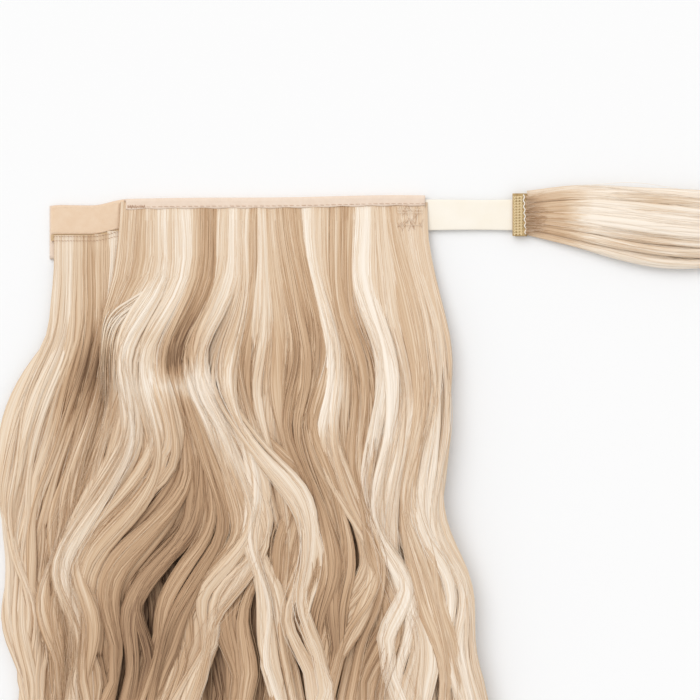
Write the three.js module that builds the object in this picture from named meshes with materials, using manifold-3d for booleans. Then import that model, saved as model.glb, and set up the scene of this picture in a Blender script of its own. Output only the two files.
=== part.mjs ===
// A wrap-round ponytail hairpiece, laid flat with its hair side up, as it lies before it is worn.
//
// A cloth band carries two sewn rows of long wavy hair. The band's bare end has a soft loop patch. Its
// other end holds a hook strap, which goes round the wearer's own ponytail and closes on the patch. The
// strap ends in a small lock of hair on a folded weft, which is then wound over the band to hide it.
//
// Millimetres, +Z up. The origin is the middle of the band's underside, which lies on the table. The
// strap runs along +X and the long hair along -Y.

import * as THREE from "three";
import { mergeVertices } from "three/addons/utils/BufferGeometryUtils.js";
import Module from "manifold-3d";

const wasm = await Module();
wasm.setup();

// The band: a cloth tape with a hem folded over the upper row of hair. Its bare end has slipped down.
const bandLength = 195;
const bandHeight = 30;
const cloth = 1;
const hemWidth = 5;
const bareLength = 40;
const slipDepth = 3;
const slipRun = 18;

// Sewn pieces lie this far apart, and a weft's header, where its hairs are sewn together, is this thick.
const seamGap = 0.3;
const headerThickness = 1.2;
const upperHeaderHeight = 5;
const lowerHeaderHeight = 3.4;
const lowerRowDepth = 17.2;
const endMargin = 1;
const rootHeight = 3;

// The loop patch on the bare end.
const patchThickness = 1.2;
const patchHeight = 15.6;
const patchMargin = 0.8;

// The hook strap: a tape with a field of hooks under it.
const strapWidth = 16;
const strapThickness = 1.2;
const strapTongue = 7.8;
const strapFree = 51;
const strapInset = 2;
const hookMargin = 1.2;
const strapCorner = 1.5;

// The small lock's weft, folded round the strap's end: its length, and how far it reaches back over the
// strap and under it.
const wrapHeaderLength = 22;
const wrapOver = 7.7;
const wrapUnder = 6.2;

// The hair. Lengths are measured down from the band's top edge, and the small lock's from its weft.
const hairLength = 400;
const hairDepth = 16;
const lockWidth = 16;
const wrapLength = 200;
const wrapDepth = 11;
const wrapLockWidth = 8.5;

// Heights above the table, worked out from the thicknesses above.
const sewnLevel = cloth + seamGap;
const hemLevel = cloth + Math.max(headerThickness, strapThickness) + 2 * seamGap;
const foldHeight = hemLevel + cloth;
const foldRadius = foldHeight / 2;
const headerTop = sewnLevel + headerThickness;
const overHeader = headerTop + seamGap;

// Places along the band, down from its top edge, and along the strap.
const bandLeft = -bandLength / 2;
const bandRight = bandLength / 2;
const bandTop = bandHeight / 2;
const hairStart = bandLeft + bareLength;
const headerEnd = bandRight - strapTongue - seamGap;
const upperRootDepth = hemWidth + seamGap;
const lowerRootDepth = lowerRowDepth + lowerHeaderHeight + seamGap;
const clothEnd = bandHeight + slipDepth + seamGap;
const strapEnd = bandRight + strapFree;
const strapMiddle = bandTop - strapInset - strapWidth / 2;
const wrapRight = strapEnd + foldRadius;

// How full the long hair is. at is a share of its length. lower is the top of the lower row and upper
// the top of the upper row, as shares of hairDepth.
const curtainBody = [
  { at: 0, lower: 0.1, upper: 0.24 },
  { at: 0.06, lower: 0.12, upper: 0.32 },
  { at: 0.12, lower: 0.22, upper: 0.52 },
  { at: 0.22, lower: 0.38, upper: 0.85 },
  { at: 0.38, lower: 0.46, upper: 1 },
  { at: 0.6, lower: 0.44, upper: 0.96 },
  { at: 0.78, lower: 0.34, upper: 0.74 },
  { at: 0.92, lower: 0.18, upper: 0.42 },
  { at: 1, lower: 0.08, upper: 0.2 },
];

// The locks of the upper row. root is a share of the row's length. drift is how far the lock moves
// across over its first three fifths, and sway how far it swings to each side, as shares of the band's
// length. period is a wave's length and crest a place where it swings furthest to the right, as shares
// of the hair's length. fall is where it ends, wide its width and full its height, as shares of the
// usual ones.
const upperLocks = [
  { root: 0, drift: -0.24, sway: 0.03, period: 0.42, crest: 0.6, fall: 0.93, wide: 0.95, full: 0.72 },
  { root: 0.06, drift: -0.27, sway: 0.038, period: 0.3, crest: 0.29, fall: 0.97, wide: 1, full: 0.8 },
  { root: 0.12, drift: -0.29, sway: 0.05, period: 0.265, crest: 0.305, fall: 0.95, wide: 1, full: 0.9 },
  { root: 0.18, drift: -0.31, sway: 0.055, period: 0.265, crest: 0.318, fall: 1, wide: 1.1, full: 1 },
  { root: 0.24, drift: -0.26, sway: 0.055, period: 0.262, crest: 0.332, fall: 0.96, wide: 1, full: 0.94 },
  { root: 0.3, drift: -0.1, sway: 0.06, period: 0.425, crest: 0.435, fall: 0.99, wide: 1.05, full: 0.82 },
  { root: 0.36, drift: -0.06, sway: 0.06, period: 0.425, crest: 0.445, fall: 0.95, wide: 1, full: 0.9 },
  { root: 0.42, drift: -0.03, sway: 0.062, period: 0.425, crest: 0.457, fall: 0.98, wide: 1.05, full: 0.96 },
  { root: 0.48, drift: 0.06, sway: 0.05, period: 0.4, crest: 0.44, fall: 0.94, wide: 0.95, full: 0.84 },
  { root: 0.54, drift: 0.15, sway: 0.034, period: 0.325, crest: 0.425, fall: 1, wide: 1.1, full: 0.88 },
  { root: 0.61, drift: 0.17, sway: 0.038, period: 0.312, crest: 0.2, fall: 0.96, wide: 1.05, full: 0.8 },
  { root: 0.68, drift: 0.18, sway: 0.04, period: 0.312, crest: 0.2, fall: 0.98, wide: 1.15, full: 1 },
  { root: 0.76, drift: 0.14, sway: 0.038, period: 0.312, crest: 0.212, fall: 0.94, wide: 1.05, full: 0.86 },
  { root: 0.84, drift: 0.09, sway: 0.035, period: 0.295, crest: 0.245, fall: 0.99, wide: 1, full: 0.98 },
  { root: 0.92, drift: 0.05, sway: 0.038, period: 0.3, crest: 0.26, fall: 0.98, wide: 1.05, full: 0.92 },
  { root: 1, drift: 0.12, sway: 0.03, period: 0.37, crest: 0.2, fall: 0.95, wide: 0.95, full: 0.7 },
];

// The locks of the lower row, with the same columns. The first four show beside the upper row.
const lowerLocks = [
  { root: 0, drift: -0.1, sway: 0.042, period: 0.62, crest: 0.6, fall: 0.9, wide: 1.05, full: 0.8 },
  { root: 0.06, drift: -0.12, sway: 0.026, period: 0.475, crest: 0.15, fall: 0.95, wide: 1.1, full: 0.95 },
  { root: 0.12, drift: -0.14, sway: 0.028, period: 0.425, crest: 0.165, fall: 0.97, wide: 1.1, full: 1 },
  { root: 0.19, drift: -0.15, sway: 0.024, period: 0.375, crest: 0.175, fall: 0.93, wide: 1.2, full: 0.92 },
  { root: 0.28, drift: -0.13, sway: 0.036, period: 0.33, crest: 0.24, fall: 0.96, wide: 1.45, full: 0.9 },
  { root: 0.38, drift: -0.09, sway: 0.034, period: 0.31, crest: 0.28, fall: 0.97, wide: 1.45, full: 1 },
  { root: 0.48, drift: -0.04, sway: 0.038, period: 0.34, crest: 0.22, fall: 0.93, wide: 1.45, full: 0.94 },
  { root: 0.58, drift: 0, sway: 0.036, period: 0.32, crest: 0.26, fall: 0.98, wide: 1.45, full: 1 },
  { root: 0.68, drift: 0.05, sway: 0.034, period: 0.34, crest: 0.27, fall: 0.92, wide: 1.45, full: 0.95 },
  { root: 0.79, drift: 0.08, sway: 0.036, period: 0.32, crest: 0.21, fall: 0.97, wide: 1.45, full: 1 },
  { root: 0.9, drift: 0.11, sway: 0.034, period: 0.35, crest: 0.22, fall: 0.94, wide: 1.3, full: 0.98 },
  { root: 1, drift: 0.14, sway: 0.032, period: 0.37, crest: 0.2, fall: 0.91, wide: 1.05, full: 0.8 },
];

// The small lock's own tresses, from its lower edge up. Their shares are of the weft's length and of
// the small lock's length.
const wrapLocks = [
  { root: 0, drift: -0.78, sway: 0.1, period: 0.95, crest: 0.15, fall: 0.93, wide: 1, full: 0.75 },
  { root: 0.2, drift: -0.6, sway: 0.11, period: 0.92, crest: 0.17, fall: 0.98, wide: 1.1, full: 0.95 },
  { root: 0.4, drift: -0.42, sway: 0.12, period: 0.9, crest: 0.19, fall: 0.95, wide: 1.05, full: 1 },
  { root: 0.6, drift: -0.24, sway: 0.12, period: 0.88, crest: 0.18, fall: 1, wide: 1.1, full: 0.92 },
  { root: 0.8, drift: -0.06, sway: 0.11, period: 0.9, crest: 0.2, fall: 0.94, wide: 1.05, full: 0.98 },
  { root: 1, drift: 0.1, sway: 0.1, period: 0.94, crest: 0.22, fall: 0.9, wide: 1, full: 0.75 },
];

// How full the small lock is along its length, as shares of wrapDepth.
const wrapBody = [
  { at: 0, upper: 0.3 },
  { at: 0.12, upper: 0.6 },
  { at: 0.35, upper: 1 },
  { at: 0.65, upper: 0.92 },
  { at: 0.88, upper: 0.5 },
  { at: 1, upper: 0.2 },
];

// A lock's width along it, as shares of its own width: close at the weft, full, then drawn to a tip.
const lockTaper = [
  { at: 0, width: 0.8 },
  { at: 0.15, width: 0.95 },
  { at: 0.45, width: 1.15 },
  { at: 0.75, width: 0.9 },
  { at: 0.93, width: 0.5 },
  { at: 1, width: 0.14 },
];
const driftShare = 0.6;
const swayShare = 0.1;

// A lock's section: flat where it lies on what is below it and round above, as shares of its half width
// and of its height.
const lockSection = [
  { across: -1, up: 0 },
  { across: 1, up: 0 },
  { across: 0.72, up: 0.74 },
  { across: 0, up: 1 },
  { across: -0.72, up: 0.74 },
];

// One smooth step from 0 to 1, and smooth steps between the rows of a table.
function smooth(t) {
  const held = THREE.MathUtils.clamp(t, 0, 1);
  return held * held * (3 - 2 * held);
}

function lookUp(table, column, at) {
  const next = table.findIndex((row) => row.at >= at);
  if (next === 0) return table[0][column];
  if (next < 0) return table.at(-1)[column];
  const [low, high] = [table[next - 1], table[next]];
  return THREE.MathUtils.lerp(low[column], high[column], smooth((at - low.at) / (high.at - low.at)));
}

// How far the band's bare end has slipped down at x.
function slip(x) {
  return slipDepth * smooth((hairStart - x) / slipRun);
}

// A closed skin through rings that hold the same number of points, with a fan over each end.
function loft(rings) {
  const count = rings[0].length;
  const faces = [];
  rings.slice(1).forEach((_, ring) => {
    for (let i = 0; i < count; i++) {
      const a = ring * count + i;
      const b = ring * count + ((i + 1) % count);
      faces.push(a, b, b + count, a, b + count, a + count);
    }
  });
  const last = (rings.length - 1) * count;
  for (let i = 1; i < count - 1; i++) {
    faces.push(0, i + 1, i, last, last + i, last + i + 1);
  }
  return new THREE.BufferGeometry()
    .setAttribute("position", new THREE.Float32BufferAttribute(rings.flat(2), 3))
    .setIndex(faces);
}

// Joins closed geometries into one solid.
function fuse(geometries) {
  const solids = geometries.map((geometry) => {
    const bare = geometry.clone();
    bare.deleteAttribute("normal");
    bare.deleteAttribute("uv");
    const merged = mergeVertices(bare, 1e-4);
    return new wasm.Manifold(
      new wasm.Mesh({
        numProp: 3,
        vertProperties: merged.attributes.position.array,
        triVerts: new Uint32Array(merged.index.array),
      }),
    );
  });
  const mesh = solids.reduce((joined, solid) => joined.add(solid)).getMesh();
  return new THREE.BufferGeometry()
    .setAttribute("position", new THREE.Float32BufferAttribute(mesh.vertProperties, 3))
    .setIndex([...mesh.triVerts]);
}

// A rectangle with rounded corners, and a slab of it that stands on a height.
function roundedSlab(left, right, bottom, top, radius, base, thickness) {
  const outline = new THREE.Shape()
    .moveTo(left + radius, bottom)
    .lineTo(right - radius, bottom)
    .absarc(right - radius, bottom + radius, radius, -Math.PI / 2, 0)
    .lineTo(right, top - radius)
    .absarc(right - radius, top - radius, radius, 0, Math.PI / 2)
    .lineTo(left + radius, top)
    .absarc(left + radius, top - radius, radius, Math.PI / 2, Math.PI)
    .lineTo(left, bottom + radius)
    .absarc(left + radius, bottom + radius, radius, Math.PI, (3 * Math.PI) / 2);
  return new THREE.ExtrudeGeometry(outline, { depth: thickness, bevelEnabled: false, curveSegments: 3 })
    .translate(0, 0, base);
}

// A strip of cloth or header that follows the band's slipped end, between two places along the band and
// two depths below its top edge.
function bandStrip(left, right, topDepth, bottomDepth, base, thickness) {
  const steps = 6;
  const bends = Array.from({ length: steps + 1 }, (_, i) => hairStart - slipRun * (1 - i / steps));
  const places = [left, ...bends.filter((x) => x > left && x < right), right];
  const rings = places.map((x) => {
    const [top, bottom] = [bandTop - topDepth - slip(x), bandTop - bottomDepth - slip(x)];
    return [
      [x, bottom, base],
      [x, top, base],
      [x, top, base + thickness],
      [x, bottom, base + thickness],
    ];
  });
  return loft(rings);
}

// A strip of cloth folded back on itself, with a slot inside. The fold is at x = 0 and the two plies
// reach along +X, the lower one on y = 0. The strip runs along +Z.
function foldedStrip(lowerReach, upperReach, length) {
  const profile = new THREE.Shape()
    .moveTo(lowerReach, cloth)
    .lineTo(foldRadius, cloth)
    .absarc(foldRadius, foldRadius, foldRadius - cloth, -Math.PI / 2, -1.5 * Math.PI, true)
    .lineTo(upperReach, hemLevel)
    .lineTo(upperReach, foldHeight)
    .lineTo(foldRadius, foldHeight)
    .absarc(foldRadius, foldRadius, foldRadius, -1.5 * Math.PI, -Math.PI / 2, false)
    .lineTo(lowerReach, 0);
  return new THREE.ExtrudeGeometry(profile, { depth: length, bevelEnabled: false, curveSegments: 8 });
}

// The depths at which a row's locks have their sections, from a row's named depths to its full length.
function stations(depths, length, steps) {
  const last = depths.at(-1);
  const rest = Array.from({ length: steps }, (_, i) => last + ((length - last) * (i + 1)) / steps);
  return [...depths, ...rest];
}

// One lock, which runs along -Y. Its row says where it is sewn, how long and wide the row's locks are,
// how deep they are held straight, and between which heights they lie at a depth.
function lock(shares, row) {
  const root = row.left + shares.root * (row.right - row.left);
  const start = row.start + row.slipAt(root - row.lockWidth / 2);
  const end = row.length * shares.fall;
  const depths = row.depths.filter((depth) => depth > start + seamGap && depth < end - seamGap);
  const rings = [start, ...depths, end].map((depth) => {
    const free = Math.max(0, (depth - row.held) / (row.length - row.held));
    const along = THREE.MathUtils.clamp((depth - row.held) / (end - row.held), 0, 1);
    const drift = shares.drift * Math.sin((Math.PI / 2) * Math.min(1, free / driftShare));
    const wave = Math.cos((2 * Math.PI * (depth / row.length - shares.crest)) / shares.period);
    const across = root + row.swing * (drift + shares.sway * smooth(free / swayShare) * wave);
    const half = (row.lockWidth * shares.wide * lookUp(lockTaper, "width", along)) / 2;
    const { bottom, top } = row.body(depth);
    const height = (top - bottom) * THREE.MathUtils.lerp(1, shares.full, smooth(free / swayShare));
    return lockSection.map((point) => [
      across + point.across * half,
      row.top - depth,
      bottom + point.up * height,
    ]);
  });
  return loft(rings);
}

// A sewn row of locks: the bar of their roots with the locks fused to it.
function lockRow(table, row) {
  return fuse([row.rootBar, ...table.map((shares) => lock(shares, row))]);
}

// The lower row leaves the cloth below the band's edge and comes down on the table.
function lowerBody(depth) {
  const offCloth = smooth((depth - clothEnd) / (2 * headerTop));
  return {
    bottom: sewnLevel * (1 - offCloth),
    top: Math.max(headerTop, hairDepth * lookUp(curtainBody, "lower", depth / hairLength)),
  };
}

// The upper row comes out of the hem on its own header, and passes over the lower header and row.
function upperBody(depth) {
  const bottom = depth < lowerRowDepth ? overHeader : lowerBody(depth).top + seamGap;
  const full = hairDepth * lookUp(curtainBody, "upper", depth / hairLength);
  return { bottom, top: Math.max(full, bottom + headerThickness) };
}

function wrapBodyAt(depth) {
  const full = wrapDepth * lookUp(wrapBody, "upper", depth / wrapLength);
  return { bottom: 0, top: depth < wrapLockWidth ? Math.max(foldHeight, full) : full };
}

function material(color, roughness) {
  return new THREE.MeshStandardMaterial({ color, roughness, metalness: 0 });
}

const bandCloth = material("#e9cfae", 0.9);
const loopPile = material("#eccfa6", 0.95);
const strapNylon = material("#f7ecd6", 0.45);
const weftThread = material("#d8b878", 0.8);
const blondHair = material("#d9bf98", 0.4);

function piece(name, geometry, finish) {
  const mesh = new THREE.Mesh(geometry, finish);
  mesh.name = name;
  return mesh;
}

// The band's flat ply runs the whole length, and its hem is folded over where the upper row is sewn in.
function bandTape() {
  const bare = bandStrip(bandLeft, hairStart, 0, bandHeight, 0, cloth);
  const ply = bandStrip(hairStart - seamGap, bandRight, foldRadius, bandHeight, 0, cloth);
  const hem = foldedStrip(2 * foldRadius, hemWidth, bandRight - hairStart)
    .rotateX(Math.PI / 2)
    .rotateZ(-Math.PI / 2)
    .translate(bandRight, bandTop, 0);
  return piece("band_tape", fuse([bare, ply, hem]), bandCloth);
}

// The loop patch is sewn flat on the bare end, above the lower row's header.
function loopPatch() {
  const [left, right] = [bandLeft + patchMargin, hairStart - patchMargin];
  const patch = bandStrip(left, right, patchMargin, patchMargin + patchHeight, sewnLevel, patchThickness);
  return piece("loop_patch", patch, loopPile);
}

// The wefts' headers: the upper one is held in the hem's slot and the lower one is sewn across the ply.
function upperWeft() {
  const [left, bottomDepth] = [hairStart + endMargin, foldRadius + upperHeaderHeight];
  const header = bandStrip(left, headerEnd, foldRadius, bottomDepth, sewnLevel, headerThickness);
  return piece("upper_weft", header, weftThread);
}

function lowerWeft() {
  const [left, bottomDepth] = [bandLeft + endMargin, lowerRowDepth + lowerHeaderHeight];
  const header = bandStrip(left, headerEnd, lowerRowDepth, bottomDepth, sewnLevel, headerThickness);
  return piece("lower_weft", header, weftThread);
}

// A row of long hair between two places along the band. Its roots' bar stands on a header.
function curtainRow(name, table, left, right, start, body, depths) {
  const reach = (lockWidth * lookUp(lockTaper, "width", 0)) / 2;
  const row = {
    left: left + reach,
    right: right - reach,
    start,
    body,
    depths,
    slipAt: slip,
    held: clothEnd,
    lockWidth,
    length: hairLength,
    swing: bandLength,
    top: bandTop,
    rootBar: bandStrip(left, right, start, start + rootHeight, body(start).bottom, headerThickness),
  };
  return piece(name, lockRow(table, row), blondHair);
}

function upperHair() {
  const held = [lowerRowDepth - seamGap, lowerRootDepth, clothEnd, clothEnd + 2 * headerTop];
  const [left, right] = [hairStart + endMargin, bandRight - endMargin];
  const depths = stations(held, hairLength, 17);
  return curtainRow("upper_hair", upperLocks, left, right, upperRootDepth, upperBody, depths);
}

function lowerHair() {
  const [left, right] = [bandLeft + endMargin, headerEnd - endMargin];
  const depths = stations([clothEnd, clothEnd + 2 * headerTop], hairLength, 13);
  return curtainRow("lower_hair", lowerLocks, left, right, lowerRootDepth, lowerBody, depths);
}

// The strap's tongue is held in the hem at the band's right end, and its far end in the small weft.
function hookStrap() {
  const [left, right] = [bandRight - strapTongue, strapEnd];
  const [bottom, top] = [strapMiddle - strapWidth / 2, strapMiddle + strapWidth / 2];
  const tape = roundedSlab(left, right, bottom, top, strapCorner, sewnLevel, strapThickness);
  return piece("hook_strap", tape, strapNylon);
}

// The hooks' field is on the strap's underside, between the band and the small weft.
function hookField() {
  const [left, right] = [bandRight + hookMargin, wrapRight - wrapOver - hookMargin];
  const half = strapWidth / 2 - hookMargin;
  const [bottom, top] = [strapMiddle - half, strapMiddle + half];
  const field = roundedSlab(left, right, bottom, top, strapCorner / 2, 0, sewnLevel - seamGap);
  return piece("hook_field", field, strapNylon);
}

// The small lock's weft is folded over the strap's end, with its fold to the right.
function lockWeft() {
  const fold = foldedStrip(wrapUnder, wrapOver, wrapHeaderLength)
    .rotateX(Math.PI / 2)
    .rotateZ(Math.PI)
    .translate(wrapRight, strapMiddle - wrapHeaderLength / 2, 0);
  return piece("lock_weft", fold, weftThread);
}

// The small lock is made as a row along -Y and turned to run along +X from its weft's fold.
function wrapLock() {
  const reach = (wrapLockWidth * lookUp(lockTaper, "width", 0)) / 2;
  const half = wrapHeaderLength / 2;
  const rootBar = new THREE.BoxGeometry(wrapHeaderLength, rootHeight, foldHeight)
    .translate(0, -rootHeight / 2, foldHeight / 2);
  const row = {
    left: -half + reach,
    right: half - reach,
    start: 0,
    body: wrapBodyAt,
    slipAt: () => 0,
    held: 0,
    lockWidth: wrapLockWidth,
    length: wrapLength,
    swing: wrapHeaderLength,
    top: 0,
    depths: stations([wrapLockWidth], wrapLength, 10),
    rootBar,
  };
  const mesh = piece("wrap_lock", lockRow(wrapLocks, row), blondHair);
  mesh.rotation.z = Math.PI / 2;
  mesh.position.set(wrapRight + seamGap, strapMiddle, 0);
  return mesh;
}

const hairpiece = new THREE.Group();
hairpiece.add(bandTape(), loopPatch(), upperWeft(), lowerWeft(), upperHair(), lowerHair());
hairpiece.add(hookStrap(), hookField(), lockWeft(), wrapLock());

export default hairpiece;
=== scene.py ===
import math

import bpy
import numpy as np
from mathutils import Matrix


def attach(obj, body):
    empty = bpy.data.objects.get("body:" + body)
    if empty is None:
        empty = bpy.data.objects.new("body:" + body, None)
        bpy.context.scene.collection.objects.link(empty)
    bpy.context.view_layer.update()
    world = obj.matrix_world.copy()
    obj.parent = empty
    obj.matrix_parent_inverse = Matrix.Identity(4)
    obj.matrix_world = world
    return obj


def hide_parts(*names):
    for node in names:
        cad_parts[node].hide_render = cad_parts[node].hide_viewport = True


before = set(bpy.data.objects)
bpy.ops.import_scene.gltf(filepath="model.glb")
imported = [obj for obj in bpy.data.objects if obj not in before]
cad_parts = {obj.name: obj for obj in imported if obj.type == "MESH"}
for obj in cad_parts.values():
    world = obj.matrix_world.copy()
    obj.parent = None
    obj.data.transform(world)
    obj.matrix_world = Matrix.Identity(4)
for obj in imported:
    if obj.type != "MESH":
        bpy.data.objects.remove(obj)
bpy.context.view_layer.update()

# The camera: the photograph was taken from straight above, with a long lens, and shows 364 mm of a white
# table. The colours are shown as they are, with no film look.
PHOTO_WIDTH = 0.364
VIEW_CENTRE = (0.0585, -0.0651)
LENS, SENSOR = 85, 36
cam_data = bpy.data.cameras.new("camera")
cam_data.lens = LENS
cam_data.sensor_width = SENSOR
camera = bpy.data.objects.new("camera", cam_data)
camera.location = (*VIEW_CENTRE, PHOTO_WIDTH * LENS / SENSOR)
bpy.context.scene.collection.objects.link(camera)
bpy.context.scene.camera = camera
bpy.context.scene.view_settings.view_transform = "Standard"

# The table: a plain sheet of matt white paper, with no grain to be seen. It lies 0.5 mm below the piece, so
# that nothing meets it.


def linear(hex_colour):
    """The linear RGBA of an sRGB hex colour, by the standard curve."""
    channels = [int(hex_colour[i:i + 2], 16) / 255 for i in (1, 3, 5)]
    return (*[c / 12.92 if c <= 0.04045 else ((c + 0.055) / 1.055) ** 2.4 for c in channels], 1)


def new_material(name, **shader):
    """A named material, its node tree and its shader, whose constants are set on its own sockets."""
    material = bpy.data.materials.new(name)
    material.use_nodes = True
    tree = material.node_tree
    principled = tree.nodes["Principled BSDF"]
    for key, value in shader.items():
        principled.inputs[key.replace("_", " ")].default_value = value
    return material, tree, principled


def mesh_piece(name, points, faces, material, uv=None, smooth=True):
    """A mesh object from arrays: points (n, 3) in metres, faces (m, 3 or 4) or a list of such arrays, and
    UVs for each corner in the faces' order."""
    groups = faces if isinstance(faces, list) else [faces]
    corners = np.concatenate([g.ravel() for g in groups]).astype(np.int32)
    sizes = np.concatenate([np.full(len(g), g.shape[1]) for g in groups])
    mesh = bpy.data.meshes.new(name)
    mesh.vertices.add(len(points))
    mesh.vertices.foreach_set("co", np.asarray(points, np.float32).ravel())
    mesh.loops.add(len(corners))
    mesh.loops.foreach_set("vertex_index", corners)
    mesh.polygons.add(len(sizes))
    mesh.polygons.foreach_set("loop_start", np.concatenate(([0], np.cumsum(sizes)[:-1])).astype(np.int32))
    mesh.update(calc_edges=True)
    mesh.polygons.foreach_set("use_smooth", np.full(len(sizes), smooth))
    if uv is not None:
        layer = mesh.uv_layers.new(name="OFBake")
        layer.data.foreach_set("uv", np.asarray(uv, np.float32).ravel())
    mesh.materials.append(material)
    piece = bpy.data.objects.new(name, mesh)
    bpy.context.scene.collection.objects.link(piece)
    return piece


FLOOR_REACH, FLOOR_DROP = 3.0, 0.0005
floor_paper, _, _ = new_material("matt_white_paper", Base_Color=linear("#f7f7f7"), Roughness=0.9)
corners = [(i * FLOOR_REACH, j * FLOOR_REACH, -FLOOR_DROP) for i, j in ((-1, -1), (1, -1), (1, 1), (-1, 1))]
floor = mesh_piece("floor", corners, np.array([[0, 1, 2, 3]]), floor_paper)

# Studio light: a white room all round gives most of it. One wide soft light from high on the left gives the
# soft shadows at the lower right, and its angles are in degrees.
ROOM_STRENGTH, KEY_STRENGTH, KEY_SPREAD = 0.74, 1.2, 50
world = bpy.data.worlds.new("white_room")
world.use_nodes = True
world.node_tree.nodes["Background"].inputs["Color"].default_value = (1, 1, 1, 1)
world.node_tree.nodes["Background"].inputs["Strength"].default_value = ROOM_STRENGTH
bpy.context.scene.world = world
key_data = bpy.data.lights.new("soft_key", "SUN")
key_data.energy = KEY_STRENGTH
key_data.angle = math.radians(KEY_SPREAD)
key = bpy.data.objects.new("soft_key", key_data)
key.rotation_euler = (math.radians(-28), math.radians(-24), 0)
bpy.context.scene.collection.objects.link(key)

# The band: a woven peach cotton tape, 1 mm thick. It lies flat under both rows of hair, and its top edge is
# folded over the upper row as a hem and sewn down. The bare left end has no hem and has slipped down.
mm = 0.001
BAND_LEFT, BAND_RIGHT, BAND_TOP = -97.5, 97.5, 15
HAIR_START = -57.5
SLOPE, DROOP = 1.6, 0.5
SLIP, SLIP_RUN = 3, 18
BAND_HEIGHT, CLOTH = 30, 1.0
FOLD_HEIGHT, HEM_WIDTH = 3.8, 5.6
PUCKER = 0.16
# The bare end runs on under the hem by this much. Flat, it is as high as the band less the slope of its
# edges, and the hemmed part is its 28.1 mm of flat ply, 4.4 mm round the fold and 3.7 mm of top ply.
BARE_LAP = 1.2


def smooth(t):
    """A smooth step from 0 to 1 as t goes from 0 to 1."""
    held = np.clip(t, 0, 1)
    return held * held * (3 - 2 * held)


def slip(x):
    """How far the band's bare left end has slipped down at x."""
    return SLIP * smooth((HAIR_START - x) / SLIP_RUN)


def top_edge(x):
    """How far down the band's top edge lies at x: the sum of its gentle slope to the left, its slip, a
    small wave and the droop of its corner."""
    wavy = 0.25 * np.sin(x / 17) * smooth((x + 97) / 20)
    return SLOPE * smooth((90 - x) / 150) + slip(x) + wavy + DROOP * smooth((-92 - x) / 6)


def ripple(x, depth, size):
    """Small puckers of sewn cloth: the mean of three crossed sine waves, 5, 12 and 19 mm long."""
    narrow = np.sin(x / 0.83 + 2 * np.sin(depth / 2.1))
    wide = np.sin(x / 1.9 + depth / 1.3) + np.sin(x / 3.1 - depth / 2.6)
    return size * (narrow + wide) / 3


def points_at(x, y, z):
    """Points from their coordinates, each of them an array or one number for all."""
    return np.stack(np.broadcast_arrays(x, y, z), axis=-1)


def swept(name, section, material):
    """A closed skin through sections, (n, points, 3) in metres, each joined to the next, with a fan of
    faces over both ends."""
    count, points, _ = section.shape
    ring = np.arange(points)
    start = (np.arange(count - 1) * points)[:, None]
    a, b = start + ring, start + (ring + 1) % points
    walls = np.stack([a, b, b + points, a + points], axis=-1).reshape(-1, 4)
    fan = np.stack([0 * ring[1:-1], ring[2:], ring[1:-1]], axis=-1)
    last = (count - 1) * points
    ends = np.concatenate([fan, last + fan[:, ::-1]])
    return mesh_piece(name, section.reshape(-1, 3), [walls, ends], material)


def node(tree, kind, settings=(), **links):
    """Adds a node with its settings, and joins or sets its inputs by name."""
    new = tree.nodes.new(kind)
    for key, value in dict(settings).items():
        setattr(new, key, value)
    for key, value in links.items():
        socket = new.inputs[int(key[1:])] if key[1:].isdigit() else new.inputs[key.replace("_", " ")]
        if isinstance(value, bpy.types.NodeSocket):
            tree.links.new(value, socket)
        else:
            socket.default_value = value
    return new


def blend(tree, shader, factor, colour, other):
    """Makes the shader's colour go evenly from one sRGB hex colour to another with the factor."""
    mix = node(tree, "ShaderNodeMix", {"data_type": "RGBA"}, _0=factor, _6=linear(colour), _7=linear(other))
    tree.links.new(mix.outputs[2], shader.inputs["Base Color"])


def cloth_material(name, colour, shadow, thread, depth, roughness):
    """Plain weave or knit, which looks matt and close: the colour mottled with a slightly darker one in
    spots of 2.4 mm, and threads as bump. A wave repeats at pi / 10 over its scale, and that is 4 threads
    here: they are drawn twice as coarse as real ones, so that they show."""
    material, tree, shader = new_material(name, Roughness=roughness, Specular_IOR_Level=0.2)
    place = node(tree, "ShaderNodeTexCoord").outputs["Object"]
    mottle = node(tree, "ShaderNodeTexNoise", Vector=place, Scale=420, Detail=3).outputs[0]
    blend(tree, shader, mottle, colour, shadow)
    scale = 250 / (math.pi * thread)
    warp, weft = (
        node(tree, "ShaderNodeTexWave", {"bands_direction": way}, Vector=place, Scale=scale, Distortion=0.6)
        for way in "XY"
    )
    weave = node(tree, "ShaderNodeMath", {"operation": "MULTIPLY"}, _0=warp.outputs[1], _1=weft.outputs[1])
    bump = node(tree, "ShaderNodeBump", Height=weave.outputs[0], Strength=0.35, Distance=depth * mm)
    tree.links.new(bump.outputs[0], shader.inputs["Normal"])
    return material


band_cloth = cloth_material("peach_woven_cotton", "#efdccb", "#e6cfba", 0.35, 0.2, 0.9)

# The cloth's section at each place along the band, as one closed line of depth and height.
along = np.linspace(BAND_LEFT, BAND_RIGHT, 196)
fold = FOLD_HEIGHT / 2
turn = np.linspace(-np.pi / 2, -1.5 * np.pi, 10)
flat_depths = np.linspace(BAND_HEIGHT, fold + 0.2, 12)
hem_depths = np.linspace(fold + 0.2, HEM_WIDTH, 6)


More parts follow.
